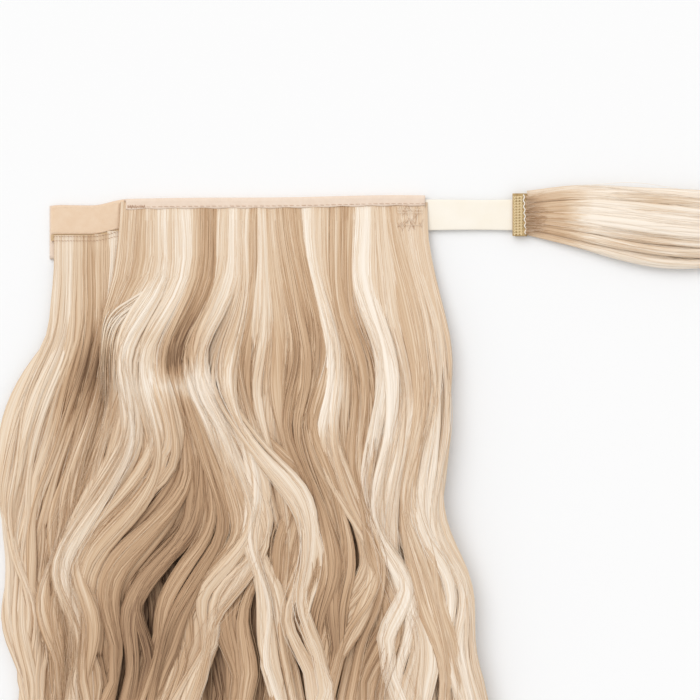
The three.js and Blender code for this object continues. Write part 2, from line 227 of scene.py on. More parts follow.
def band_section(hemmed):
    """Depths and heights round the cloth, outside first. Without a hem the fold is let down flat."""
    inner, back, hem_floor = fold - CLOTH, turn[::-1], FOLD_HEIGHT - CLOTH
    if hemmed:
        outside = [flat_depths, fold + fold * np.cos(turn), hem_depths]
        inside = [hem_depths[::-1], fold + inner * np.cos(back), flat_depths[::-1]]
        outside_z = [0 * flat_depths, fold + fold * np.sin(turn), 0 * hem_depths + FOLD_HEIGHT]
        inside_z = [0 * hem_depths + hem_floor, fold + inner * np.sin(back), 0 * flat_depths + CLOTH]
        return np.concatenate(outside + inside), np.concatenate(outside_z + inside_z)
    depths = np.concatenate([flat_depths, np.linspace(fold, 0.1, 6)])
    return np.concatenate([depths, depths[::-1]]), np.concatenate([0 * depths, 0 * depths + CLOTH])


def band_cloth_part(name, x, hemmed):
    """The part of the band over a stretch of x: its section slid down to the band's top edge there, with
    puckers on top and a hem edge that wanders a little. The bare end fits between its own two edges."""
    depths, heights = band_section(hemmed)
    x = x[:, None]
    if hemmed:
        whole = top_edge(x) + depths
        frayed = smooth((depths - HEM_WIDTH + 0.4) / 0.3) * (heights > 2) * 0.25 * np.sin(x / 2.3)
    else:
        whole = top_edge(x) + depths * (BAND_HEIGHT + slip(x) - top_edge(x)) / BAND_HEIGHT
        frayed = 0
    lifted = smooth((heights - 0.9) / 0.3) * ripple(x, whole, PUCKER)
    points = points_at(x, BAND_TOP - whole - frayed, heights + lifted)
    return swept(name, points * mm, band_cloth)


hemmed_band = band_cloth_part("band_cloth", along[along >= HAIR_START], True)
bare_end = band_cloth_part("band_bare_end", along[along <= HAIR_START + BARE_LAP], False)
for piece in (hemmed_band, bare_end):
    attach(piece, "root")
    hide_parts("band_tape")


def tube_faces(count, steps, sides):
    """The faces of many tubes whose rings are numbered in order: walls from each ring to the next, and a
    cap over each end."""
    ring = np.arange(sides)
    first = np.arange(count)[:, None, None] * steps * sides
    start = first + np.arange(steps - 1)[:, None] * sides
    a, b = start + ring, start + (ring + 1) % sides
    walls = np.stack([a, b, b + sides, a + sides], axis=-1).reshape(-1, 4)
    caps = np.concatenate([first[:, 0] + ring[::-1], first[:, 0] + (steps - 1) * sides + ring])
    return [walls, caps]


def stitches(name, starts, ends, thick, material, arch=0.0):
    """Sewn threads: a short round tube from each start to its end, (n, 3) in mm, that rises in between and
    dips into the cloth at both ends."""
    steps, sides = 6, 5
    t = np.linspace(0, 1, steps)[None, :, None]
    paths = starts[:, None] * (1 - t) + ends[:, None] * t
    paths[..., 2] += arch * np.sin(np.pi * t[..., 0]) ** 0.5
    turns = 2 * np.pi * np.arange(sides) / sides
    way = ends - starts
    way /= np.linalg.norm(way, axis=1, keepdims=True)
    side = np.cross(way, (0, 0, 1.0))
    side /= np.maximum(np.linalg.norm(side, axis=1, keepdims=True), 1e-9)
    up = np.cross(side, way)
    ring = side[:, None, None] * np.cos(turns)[:, None] + up[:, None, None] * np.sin(turns)[:, None]
    points = (paths[:, :, None] + thick * ring) * mm
    piece = mesh_piece(name, points.reshape(-1, 3), tube_faces(len(starts), steps, sides), material)
    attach(piece, "root")


# The seams: brown dashes along the hem's lower edge, a zigzag that holds the hem's left end, and the box of
# pale rows and crossed brown threads that holds the strap's tongue at the right end. All of it is spun
# polyester thread, which has hardly any shine.
brown_thread, _, _ = new_material("brown_sewing_thread", Base_Color=linear("#bd9678"), Roughness=0.7)
tan_thread, _, _ = new_material("tan_sewing_thread", Base_Color=linear("#c4a183"), Roughness=0.7)
pale_thread, _, _ = new_material("pale_sewing_thread", Base_Color=linear("#f1dcc4"), Roughness=0.7)
HEM_TOP = FOLD_HEIGHT + 0.06
SEAM_PITCH, SEAM_STITCH, SEAM_MARGIN = 3.1, 2.4, 1.1
dash = np.arange(HAIR_START + 1, BAND_RIGHT - 2, SEAM_PITCH)
seam_depth = top_edge(dash) + HEM_WIDTH - SEAM_MARGIN
starts = points_at(dash, BAND_TOP - seam_depth, HEM_TOP - 0.12)
stitches("hem_seam", starts, starts + (SEAM_STITCH, -0.08, 0), 0.1, brown_thread, arch=0.2)
rng = np.random.default_rng(21)
TACK_LENGTH, turns_made = 9.4, 22
zig = HAIR_START + 0.6 + np.linspace(0, TACK_LENGTH, turns_made)
zig_depth = np.where(np.arange(turns_made) % 2 == 0, 5.0, 6.7) + rng.uniform(-0.25, 0.25, turns_made)
tack = points_at(zig, BAND_TOP - zig_depth, HEM_TOP - 0.1)
stitches("left_back_tack", tack[:-1], tack[1:], 0.11, brown_thread, arch=0.16)
crossed = 34
BOX_LEFT, BOX_RIGHT, BOX_TOP, BOX_BOTTOM = 84, 96, 6.2, 18
box_x = rng.uniform(BOX_LEFT, BOX_RIGHT, crossed)
box_y = BAND_TOP - rng.uniform(BOX_TOP, BOX_BOTTOM, crossed)
lean = rng.choice([-1, 1], crossed) * rng.uniform(0.8, 2.6, crossed)
low, high = points_at(box_x - lean / 2, box_y - 1.4, 4.9), points_at(box_x + lean / 2, box_y + 1.4, 4.9)
stitches("tongue_cross_stitches", low, high, 0.08, tan_thread, arch=0.1)
ROW_DEPTHS, row_stitches = (7.6, 9.1, 15.6), 6
row_y = np.repeat(BAND_TOP - np.array(ROW_DEPTHS), row_stitches)
row_x = np.tile(np.linspace(BOX_LEFT - 1, BOX_RIGHT - 2, row_stitches), len(ROW_DEPTHS))
starts = points_at(row_x, row_y, 5.0)
stitches("tongue_row_stitches", starts, starts + (2.1, 0.1, 0), 0.14, pale_thread, arch=0.15)

# The loop patch: soft brushed nylon loops on a tape, sewn flat along both edges of the band's bare end.
# The strap's hooks close on it in wear.
PATCH_LEFT, PATCH_RIGHT = -96.7, -58.3
PATCH_TOP, PATCH_BOTTOM = 0.5, 17.0
PATCH_BASE, PATCH_THICK = 1.3, 1.2
PATCH_CROWN, PATCH_PUCKER = 0.15, 0.05
PATCH_SEAM_MARGIN = 0.9


def loop_pile_material():
    """Brushed loops: close matt pile of one warm colour, clouded over 4 mm, with a fuzz of 0.4 mm as
    bump. It takes the light softly, with no gloss."""
    pile = {"Roughness": 0.95, "Specular_IOR_Level": 0.1, "Sheen_Weight": 0.25, "Sheen_Roughness": 0.5}
    material, tree, shader = new_material("peach_brushed_loops", **pile)
    place = node(tree, "ShaderNodeTexCoord").outputs["Object"]
    cloud = node(tree, "ShaderNodeTexNoise", Vector=place, Scale=260, Detail=4, Roughness=0.7).outputs[0]
    blend(tree, shader, cloud, "#f0d8be", "#e3c3a3")
    fuzz = node(tree, "ShaderNodeTexNoise", Vector=place, Scale=2600, Detail=2).outputs[0]
    bump = node(tree, "ShaderNodeBump", Height=fuzz, Strength=0.5, Distance=0.0003).outputs[0]
    tree.links.new(bump, shader.inputs["Normal"])
    return material


loop_pile = loop_pile_material()


def crowned_strip(left, right, edges, base, thick, crown, steps):
    """A soft strip's grid of points: a slab whose top is drawn down along its edges and whose four sides
    are rounded. edges(x) gives the depths of its upper and lower edge, and steps the points along it and
    round it."""
    u = np.linspace(0, 1, steps[0])[:, None]
    around = np.linspace(0, 2 * np.pi, steps[1], endpoint=False)[None]
    flat_cos = np.sign(np.cos(around)) * np.abs(np.cos(around)) ** 0.22
    flat_sin = np.sign(np.sin(around)) * np.abs(np.sin(around)) ** 0.5
    pinch = (1 - np.abs(2 * u - 1) ** 40) ** 0.5 * 0.97 + 0.03
    x = left + (right - left) * u + 0 * around
    top, bottom = edges(x)
    depth = (top + bottom) / 2 + (bottom - top) / 2 * flat_cos * (0.9 + 0.1 * pinch)
    z = base + thick / 2 + (thick / 2) * flat_sin * pinch
    z = z + crown * (flat_sin > 0.2) * (1 - flat_cos**4) * pinch
    return points_at(x, BAND_TOP - depth, z)


def patch_edges(x):
    """The patch's upper edge lies just inside the cloth's, and its lower edge over the lower weft."""
    return top_edge(x) + PATCH_TOP, PATCH_BOTTOM + slip(x)


patch_points = crowned_strip(
    PATCH_LEFT, PATCH_RIGHT, patch_edges, PATCH_BASE, PATCH_THICK, PATCH_CROWN, steps=(80, 26),
)
on_top = patch_points[..., 2] > 2
patch_points[..., 2] += on_top * ripple(patch_points[..., 0], patch_points[..., 1], PATCH_PUCKER)
patch = swept("loop_patch_pile", patch_points[:, ::-1] * mm, loop_pile)
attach(patch, "root")
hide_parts("loop_patch")
dash = np.tile(np.arange(PATCH_LEFT + 0.6, PATCH_RIGHT - 2, 2.9), 2)
upper_edge, lower_edge = patch_edges(dash)
on_upper = np.arange(len(dash)) < len(dash) // 2
edge = np.where(on_upper, upper_edge + PATCH_SEAM_MARGIN, lower_edge - PATCH_SEAM_MARGIN)
starts = points_at(dash, BAND_TOP - edge, 2.42)
stitches("patch_seams", starts, starts + (2.3, 0, 0), 0.12, pale_thread, arch=0.16)

# The wefts' headers: the hairs' roots sewn together into stiff strips with golden thread. The upper one is
# inside the hem. The lower one shows under the patch, where two more rows of stitches hold it.
weft_cloth = cloth_material("golden_sewn_roots", "#dcc29e", "#bf9d74", 0.5, 0.3, 0.8)
for header in ("upper_weft", "lower_weft"):
    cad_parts[header].data.materials[0] = weft_cloth
WEFT_ROWS = (18.2, 20.4)
dash = np.tile(np.arange(BAND_LEFT + 2, HAIR_START - 1, 1.5), len(WEFT_ROWS))
row_y = BAND_TOP - np.repeat(WEFT_ROWS, len(dash) // len(WEFT_ROWS)) - slip(dash)
starts = points_at(dash, row_y, 3.1)
stitches("lower_weft_stitches", starts, starts + (1.1, -0.25, 0), 0.11, brown_thread, arch=0.12)

# The long hair: fine synthetic fibre in mixed blonde tones, sewn to the band in two rows and heat-set in
# loose waves. The fibres lie in locks, which cross and part below the first wave.
STATION = 20
# Where each lock lies across the band, in mm right of its middle, at every 20 mm down from the band's top.
# The tones, near the band and below the first wave, run from 0, cream, through honey and ash to 1, dark
# brown. lift is how high the lock lies on the others, in mm.
UPPER_LOCKS = [
    ("frizz_a", 0.36, 0.42, -0.6, (-56, -57, -59, -66, -68, -69, -74, -80, -86, -90, -92, -92, -90)),
    ("frizz_b", 0.42, 0.46, -0.3, (-50, -51, -53, -64, -67, -66, -70, -76, -82, -87, -90, -89, -86)),
    ("frizz_c", 0.26, 0.34, 0.0, (-44, -44, -45, -58, -64, -61, -64, -70, -77, -83, -87, -86, -83)),
    ("cream_a", 0.12, 0.24, 2.4, (-38, -38, -38, -50, -59, -55, -52, -60, -74, -85, -87, -82, -81)),
    ("cream_b", 0.26, 0.4, 0.4, (-33, -33, -33, -42, -52, -52, -47, -48, -62, -76, -82, -79, -77)),
    ("cream_c", 0.1, 0.3, 1.6, (-28, -26, -27, -36, -47, -47, -42, -40, -50, -66, -76, -78, -76)),
    ("honey_a", 0.36, 0.3, 1.2, (-21, -21, -22, -31, -39, -36, -32, -32, -52, -77, -81, -78, -76)),
    ("sable_a", 0.46, 0.56, -1.4, (-19, -19, -20, -28, -36, -34, -30, -31, -43, -62, -72, -71, -70)),
    ("brown_a", 0.56, 0.44, -0.6, (-17, -17, -18, -25, -33, -31, -27, -27, -29, -46, -63, -66, -65)),
    ("sable_b", 0.54, 0.54, -1.4, (-15, -15, -16, -23, -31, -29, -24, -21, -22, -29, -42, -52, -51)),
    ("brown_b", 0.56, 0.46, 0.5, (-13, -13, -13, -20, -28, -27, -21, -16, -12, -11, -21, -35, -39)),
    ("beige_a", 0.28, 0.36, -0.2, (-7, -8, -9, -16, -24, -22, -13, -7, -1, 1, -9, -24, -29)),
    ("beige_b", 0.16, 0.24, 0.9, (-1, -1, -1, -8, -17, -16, -5, 2, 9, 13, 6, -13, -17)),
    ("sable_c", 0.24, 0.5, -1.4, (1, 1, 1, -4, -12, -12, -2, 6, 10, 9, 4, 0, 1)),
    ("ash_a", 0.28, 0.12, 2.0, (3, 2, 3, 0, -8, -9, 2, 16, 35, 42, 38, 34, 41)),
    ("pale", 0.3, 0.14, 1.1, (6, 5, 6, 4, 1, 0, 4, 9, 11, 8, 10, 16, 20)),
    ("ash_b", 0.46, 0.42, -0.3, (9, 8, 8, 4, 0, 1, 8, 22, 40, 46, 43, 37, 43)),
    ("pearl", 0.2, 0.3, 0.3, (12, 13, 13, 13, 12, 10, 12, 16, 22, 26, 22, 22, 26)),
    ("honey_b", 0.36, 0.44, 0.0, (17, 18, 20, 23, 26, 24, 24, 28, 29, 23, 26, 23, 22)),
    ("peach", 0.42, 0.48, 0.9, (22, 24, 28, 31, 34, 33, 31, 38, 46, 47, 46, 44, 44)),
    ("gold", 0.5, 0.5, 1.5, (29, 31, 35, 40, 43, 41, 36, 41, 49, 52, 56, 51, 47)),
    ("cream_d", 0.14, 0.34, 2.2, (37, 37, 40, 45, 50, 49, 46, 49, 58, 65, 70, 66, 51)),
    ("tan_a", 0.28, 0.38, -0.2, (44, 44, 45, 50, 55, 57, 55, 55, 62, 68, 74, 75, 64)),
    ("tan_b", 0.44, 0.44, 0.4, (50, 50, 50, 53, 59, 62, 60, 58, 63, 70, 78, 79, 70)),
    ("rose_brown", 0.54, 0.42, -0.8, (57, 57, 57, 59, 67, 70, 70, 68, 67, 70, 79, 83, 77)),
    ("cream_e", 0.08, 0.1, 1.4, (66, 65, 63, 68, 75, 78, 77, 74, 69, 71, 79, 87, 81)),
    ("beige_c", 0.26, 0.18, 0.4, (73, 74, 76, 78, 84, 88, 85, 80, 76, 76, 86, 94, 92)),
    ("honey_c", 0.38, 0.36, 1.0, (80, 83, 88, 93, 97, 98, 96, 91, 87, 90, 100, 106, 108)),
    ("cream_f", 0.24, 0.1, 1.6, (87, 89, 93, 99, 103, 104, 101, 97, 95, 98, 107, 113, 114)),
    ("beige_d", 0.3, 0.22, 0.2, (94, 95, 99, 104, 107, 107, 105, 102, 102, 107, 114, 118, 120)),
]
# The lower row's middle locks, under_g to under_m, are darker below the first wave: partly darker hair and
# partly painted shade for where they show through the gaps between the upper locks.
LOWER_LOCKS = [
    ("under_a", 0.24, 0.28, 0.3, (-92, -92, -93, -95, -104, -111, -115, -117, -118, -117, -115, -113, -111)),
    ("under_b", 0.2, 0.3, 0.3, (-87, -87, -88, -90, -96, -102, -107, -110, -112, -111, -109, -107, -104)),
    ("under_c", 0.38, 0.32, 0.2, (-83, -83, -84, -84, -90, -96, -101, -106, -109, -110, -107, -104, -101)),
    ("under_d", 0.46, 0.38, 0.0, (-77, -77, -76, -78, -82, -87, -92, -98, -104, -107, -105, -101, -97)),
    ("under_e", 0.42, 0.44, 0.0, (-70, -70, -70, -71, -75, -80, -85, -91, -97, -101, -100, -97, -93)),
    ("under_f", 0.16, 0.5, 0.0, (-63, -63, -65, -67, -70, -74, -80, -86, -91, -94, -94, -92, -90)),
    ("under_g", 0.44, 0.56, 0.0, (-50, -50, -51, -56, -62, -60, -60, -66, -74, -79, -80, -76, -72)),
    ("under_h", 0.5, 0.62, 0.0, (-35, -35, -35, -40, -46, -44, -43, -47, -56, -63, -63, -59, -56)),
    ("under_i", 0.5, 0.64, 0.0, (-20, -20, -20, -26, -32, -29, -26, -29, -38, -46, -46, -43, -41)),
    ("under_j", 0.5, 0.64, 0.0, (-5, -5, -5, -10, -15, -12, -10, -12, -20, -28, -29, -27, -26)),
    ("under_k", 0.5, 0.64, 0.0, (10, 10, 11, 9, 5, 4, 5, 5, 0, -8, -11, -10, -9)),
    ("under_l", 0.5, 0.64, 0.0, (25, 25, 27, 29, 28, 26, 24, 22, 20, 13, 9, 9, 10)),
    ("under_m", 0.5, 0.64, 0.0, (40, 40, 42, 46, 48, 46, 44, 42, 42, 36, 32, 32, 33)),
    ("under_n", 0.44, 0.5, 0.0, (55, 55, 56, 60, 64, 64, 62, 60, 62, 62, 58, 57, 56)),
    ("under_o", 0.4, 0.46, 0.0, (70, 70, 71, 75, 80, 81, 79, 78, 80, 84, 84, 83, 80)),
    ("under_p", 0.34, 0.36, 0.0, (84, 84, 87, 93, 97, 97, 95, 92, 92, 98, 104, 106, 105)),
]
# Painted highlights and painted shade where the waves catch the light or turn from it, patches of the hair's
# own tan or pale tone, and broad patches that make it lighter near the band and darker towards its ends: the
# place across and down, how far it reaches each way, how far it leans to the right as it goes down, and what
# it adds to the tone. The places beyond 190 across are on the small lock.
SHADES = [
    (-28, 98, 19, 6, -0.2, -0.4),
    (-26, 80, 12, 17, -0.5, 0.28),
    (-14, 116, 8, 24, 0.45, -0.2),
    (-44, 73, 5, 9, 0.0, 0.12),
    (-74, 90, 11, 22, -0.3, 0.28),
    (-66, 84, 4, 10, 0.1, 0.14),
    (-64, 112, 5, 12, 0.3, 0.12),
    (6, 88, 10, 20, 0.0, 0.14),
    (30, 88, 11, 22, 0.1, 0.14),
    (38, 66, 4, 12, 0.3, 0.12),
    (47, 103, 5, 20, 0.0, -0.14),
    (0, 18, 70, 16, 0.0, -0.05),
    (-94, 190, 20, 44, 0.0, -0.1),
    (-37, 26, 9, 24, 0.0, 0.05),
    (-62, 188, 40, 40, 0.0, 0.04),
    (-20, 172, 16, 24, 0.0, 0.06),
    (-52, 238, 56, 34, 0.0, 0.2),
    (50, 232, 34, 30, 0.0, 0.16),
    (60, 92, 5, 14, 0.3, 0.1),
    (90, 150, 18, 40, 0.0, -0.05),
    (218, 4, 17, 4, 0.1, 0.2),
    (214, 24, 18, 3.5, 0.1, 0.18),
    (192, 12, 16, 7, 0.0, -0.12),
    (-15, 175, 78, 50, 0.0, 0.09),
]


def through(values, step, at):
    """Smooth curves through values at even steps. Each stretch is a cubic that leaves and arrives with
    the mean slope of its neighbours."""
    values = np.atleast_2d(values).astype(float)
    ends = [2 * values[:, :1] - values[:, 1:2], values, 2 * values[:, -1:] - values[:, -2:-1]]
    padded = np.concatenate(ends, axis=1)
    place = np.clip(at / step, 0, values.shape[1] - 1.000001)
    k = place.astype(int)
    t = place - k
    before, here, there, after = (padded[:, k + i] for i in range(4))
    cubed = 3 * (here - there) + after - before
    squared = 2 * before - 5 * here + 4 * there - after
    return here + 0.5 * t * (there - before + t * (squared + t * cubed))


def lock_centres(locks, depths):
    """Each lock's place across at some depths, with its bends rounded over 14 mm. Past the last station
    it goes on as its own wave turned about that point, at half its size."""
    table = np.array([row[4] for row in locks])
    last = STATION * (table.shape[1] - 1)
    rounded = 0
    for offset, weight in ((-8, 0.25), (0, 0.5), (8, 0.25)):
        at = np.maximum(depths + offset, 0)
        inside = through(table, STATION, np.minimum(at, last))
        mirrored = through(table, STATION, np.clip(2 * last - at, 0, last))
        rounded = rounded + weight * np.where(at <= last, inside, inside + 0.5 * (inside - mirrored))
    return rounded


def shade(x, depth):
    """What SHADES adds to the tone at a place, painted highlights and painted shade among it: a sum of soft
    bells, one for each row of SHADES.
    """
    added = np.zeros(np.broadcast(x, depth).shape)
    for middle, down, wide, long, lean, change in SHADES:
        aside = (x - middle - lean * (depth - down)) / wide
        added += change * np.exp(-aside**2 - ((depth - down) / long) ** 2)
    return added


def frames(paths):
    """At each point of many paths, the level direction across it and the direction up from it."""
    along = np.gradient(paths, axis=1)
    along /= np.linalg.norm(along, axis=2, keepdims=True)
    across = np.cross(along, (0, 0, 1.0))
    across /= np.maximum(np.linalg.norm(across, axis=2, keepdims=True), 1e-9)
    return across, np.cross(across, along)


def tubes(paths, half_across, half_up, tone, fibre, sides=3, edge=0.0):
    """Closed tubes round many paths, (n, steps, 3) in metres, with an oval section. Each ring stands square
    to its path with its flat side down. Of the map, U is the place among the fibres, where each tube takes
    its own span (start at each step, width), and V is the tone. edge darkens it at both sides of the ring as
    painted shade on the tube's rounded sides, and shade adds the painted highlights and shade of SHADES."""
    count, steps, _ = paths.shape
    across, up = frames(paths)
    turns = -np.pi / 2 + np.pi / sides + 2 * np.pi * np.arange(sides) / sides
    rings = (
        paths[:, :, None]
        + across[:, :, None] * (half_across[:, :, None] * np.cos(turns))[..., None]
        + up[:, :, None] * (half_up[:, :, None] * np.sin(turns))[..., None]
    )
    walls, caps = tube_faces(count, steps, sides)
    shaded = shade(rings[..., 0] / mm, BAND_TOP - rings[..., 1] / mm)
    # Painted shade: edge darkens both sides of each ring, and shaded adds the painted highlights and shade
    # of SHADES.
    v = np.clip(tone[:, :, None] + edge * np.cos(turns) ** 2 + shaded, 0.01, 0.99).ravel()
    place = fibre[0][:, :, None] + fibre[1] * np.arange(sides) / sides + np.zeros((count, steps, sides))
    one = fibre[1] / sides
    wall_u = np.stack([place[:, :-1], place[:, :-1] + one, place[:, 1:] + one, place[:, 1:]], axis=-1)
    u = np.concatenate([wall_u.ravel(), place[:, 0, ::-1].ravel(), place[:, -1].ravel()])
    corners = np.concatenate([walls.ravel(), caps.ravel()])
    return rings.reshape(-1, 3), [walls, caps], np.stack([u, v[corners]], axis=1)


# A ribbon's turn round takes this share of U, and a single fibre's that one. A ribbon is 9 to 15 mm round,
# so the fine streaks, 170 to the whole of U, are 0.2 to 0.4 mm wide, as coarse as they need to be to show,
# and the broad ones are 1 to 1.5 mm.
RIBBON_SPAN, FIBRE_SPAN = 0.24, 0.006
FINE_STREAKS, BROAD_STREAKS = 170, 42


def hair_material(name, stops, roughness):
    """Synthetic fibre, drawn smooth, which shines softly along the lock: its colour is a ramp over the
    tone, V, broken by fine and broad streaks over U, which change slowly with the tone. The fine ones
    stand out a little as bump."""
    material, tree, shader = new_material(name, Roughness=roughness, Specular_IOR_Level=0.18)
    uv = node(tree, "ShaderNodeUVMap", {"uv_map": "OFBake"}).outputs[0]
    flat = {"noise_dimensions": "2D"}
    fine_at = node(tree, "ShaderNodeMapping", _0=uv, _3=(FINE_STREAKS, 7, 1)).outputs[0]
    fine = node(tree, "ShaderNodeTexNoise", flat, _0=fine_at, Scale=1, Detail=2).outputs[0]
    broad_at = node(tree, "ShaderNodeMapping", _0=uv, _3=(BROAD_STREAKS, 3, 1)).outputs[0]
    broad = node(tree, "ShaderNodeTexNoise", flat, _0=broad_at, Scale=1, Detail=1).outputs[0]
    v = node(tree, "ShaderNodeSeparateXYZ", Vector=uv).outputs[1]
    add = {"operation": "MULTIPLY_ADD"}
    streaked = node(tree, "ShaderNodeMath", add, _0=fine, _1=0.5, _2=v).outputs[0]
    both = node(tree, "ShaderNodeMath", add, _0=broad, _1=0.3, _2=streaked).outputs[0]
    tone = node(tree, "ShaderNodeMath", {"operation": "SUBTRACT"}, _0=both, _1=0.4).outputs[0]
    ramp = node(tree, "ShaderNodeValToRGB", _0=tone)
    elements = ramp.color_ramp.elements
    elements[0].color, elements[1].color = linear(stops[0]), linear(stops[-1])
    for index, colour in enumerate(stops[1:-1], 1):
        elements.new(index / (len(stops) - 1)).color = linear(colour)
    tree.links.new(ramp.outputs[0], shader.inputs["Base Color"])
    bump = node(tree, "ShaderNodeBump", Height=fine, Strength=0.12, Distance=0.0002).outputs[0]
    tree.links.new(bump, shader.inputs["Normal"])
    return material


BLONDE = ("#f9eee0", "#efdfcb", "#e5ceb3", "#d7ba9a", "#c6a482", "#ab8a6c", "#7e614a", "#42301f")
blonde_fibre = hair_material("blonde_synthetic_fibre", BLONDE, 0.52)

# How high the hair lies at every 50 mm down, in mm: the lower row's top and the upper row's.
TOP_STATION = 50
LOWER_TOP = (2.6, 3.4, 6.0, 7.2, 7.2, 6.6, 5.4, 3.2, 1.6)
UPPER_TOP = (3.4, 6.6, 11.6, 14.2, 14.2, 13.4, 11.0, 6.6, 2.6)
# The upper row's roots start under the hem and the lower row's on its header, below the loop patch. They
# lie at one height, and the sewing holds them down for a way. Then: where the cloth ends under the hair,
# how much of the hair the photograph shows, and how far down it reaches.
UPPER_ROOT, LOWER_ROOT = 3.6, 17.7
ROOT_LEVEL = 2.72
UPPER_HELD, LOWER_HELD = 1.6, 4
CLOTH_END, SEEN, CURTAIN_END = 33.3, 250, 396
# The lengths of the waves down the hair, in mm: a fibre's two sways, the bends of its lock, the swells in
# the lock's width and in its height, and the swells in a ribbon's own width.
SWAYS = (150, 84)
LOCK_BEND, LOCK_SWELL, LOCK_RISE, RIBBON_SWELL = 70, 96, 98, 88


def lower_top(depths):
    """The top of the lower row, through its heights at every 50 mm."""
    return through(LOWER_TOP, TOP_STATION, depths.ravel())[0].reshape(depths.shape)


def upper_top(depths):
    """The top of the upper row, in the same way."""
    return through(UPPER_TOP, TOP_STATION, depths.ravel())[0].reshape(depths.shape)


def lower_floor(depths):
    """What the lower row lies on: the cloth, and then the table."""
    return 0.3 + 1.1 * (1 - smooth((depths - CLOTH_END) / 8))


def wave(depths, length, phase):
    """A sine wave down the hair, of a length in mm."""
    return np.sin(2 * np.pi * depths / length + phase)


def lie(rng, locks, lock, across, height, root, floor, top, width, clump, wander, spacing):
    """Where the fibres lie. Each belongs to a lock, with a place across it from -0.5 to 0.5 and a height
    in it from 0 to 1. Near the band it shares the space to the next lock evenly. Further down it draws
    in to its own lock, by clump, until the lock is width wide. It wanders a little by itself, waves with
    its lock, and rises with its lock's lift. The last thing given back is the width that the lock takes
    up."""
    count = len(lock)
    reach = 1 - 0.1 * rng.uniform(0, 1, (count, 1)) ** 2
    centres = lock_centres(locks, spacing)
    gaps = np.diff(centres, axis=0)
    gaps = np.clip(np.concatenate([gaps[:1], gaps, gaps[-1:]]), 0, 22)
    starts = root + (root == LOWER_ROOT) * slip(centres[lock, :1])
    depths = starts + (spacing[None] - spacing[0]) * (CURTAIN_END - starts) / CURTAIN_END * reach
    side = np.where(across > 0, lock + 1, lock)
    drawn = clump * smooth((depths - 80) / 85)
    pulse = rng.uniform(0, 2 * np.pi, len(locks))[lock][:, None]
    share = gaps[side] * (1 - drawn) + width * (1 + 0.2 * wave(depths, LOCK_SWELL, pulse)) * drawn
    taper = 1 - 0.55 * smooth((depths - 270) / 120)
    x = centres[lock] + across[:, None] * share * taper
    free = smooth((depths - 30) / 70)
    phases = rng.uniform(0, 2 * np.pi, (2, count, 1))
    sway = wave(depths, SWAYS[0], phases[0]) + 0.5 * wave(depths, SWAYS[1], phases[1])
    x = x + wander * free * taper * sway
    turn = rng.uniform(0, 2 * np.pi, len(locks))[lock][:, None]
    x = x + 2.4 * smooth((depths - 130) / 70) * taper * wave(depths, LOCK_BEND, 2 * turn)
    lift = np.array([row[3] for row in locks])[lock][:, None]
    relief = 0.3 + 0.7 * smooth((depths - 60) / 90)
    level = (1 - (1 - height[:, None]) * relief) * (1 - 0.9 * across[:, None] ** 2 * relief)
    z = floor(depths) + (top(depths) - floor(depths)) * level
    z = z + free * taper * (lift + 0.7 * wave(depths, LOCK_RISE, turn))
    tones = np.array([row[1:3] for row in locks])[lock]
    below = smooth((depths - 100) / 45)
    tone = tones[:, :1] * (1 - below) + tones[:, 1:] * below
    return points_at(x, BAND_TOP - depths, np.maximum(z, 0.35)) * mm, depths, tone, share


def tuck(paths, depths, held):
    """Holds the roots just over the headers for a way, held, from where they come into their own height
    over the next 5 mm."""
    free = smooth((depths - depths[:, :1] - held) / 5)
    paths[..., 2] = ROOT_LEVEL * mm * (1 - free) + paths[..., 2] * free
    return paths


def fibres_on(rng, paths, half_across, half_up, tone, count, stray):
    """Single fibres that lie on the ribbons. Each keeps to one ribbon's top, drifts slowly round it from
    one angle to another, and strays off it by up to stray mm on the way. They are 0.2 to 0.4 mm wide,
    coarser than real ones, so that they show. Gives what tubes needs."""
    own = rng.integers(0, len(paths), count)
    across, up = frames(paths[own])
    along = np.linspace(0, 1, paths.shape[1])[None]
    bend = rng.uniform(0, 1, (count, 1))
    drift = 0.12 * np.sin(2 * np.pi * (along * 1.7 + bend))
    angle = np.pi * (0.5 + rng.uniform(-0.42, 0.42, (count, 1)) + drift)
    off = stray * mm * rng.uniform(0, 1, (count, 1)) ** 4 * np.sin(np.pi * (along * 2.3 + bend)) ** 2
    off = off * smooth((along - 0.08) / 0.2)
    places = (
        paths[own]
        + across * ((half_across[own] + off) * np.cos(angle))[..., None]
        + up * ((half_up[own] + 0.4 * off + 0.02 * mm) * np.sin(angle))[..., None]
    )
    tapered = np.clip(half_across[own] / (0.9 * mm), 0.2, 1)
    thin = tapered * rng.uniform(0.09, 0.2, (count, 1)) * mm
    tones = tone[own] + rng.normal(0, 0.1, (count, 1))
    return places, thin, tones


def shell(made):
    """The arguments of mesh_piece for hair: its points, faces, material and map."""
    points, faces, uv = made
    return points, faces, blonde_fibre, uv


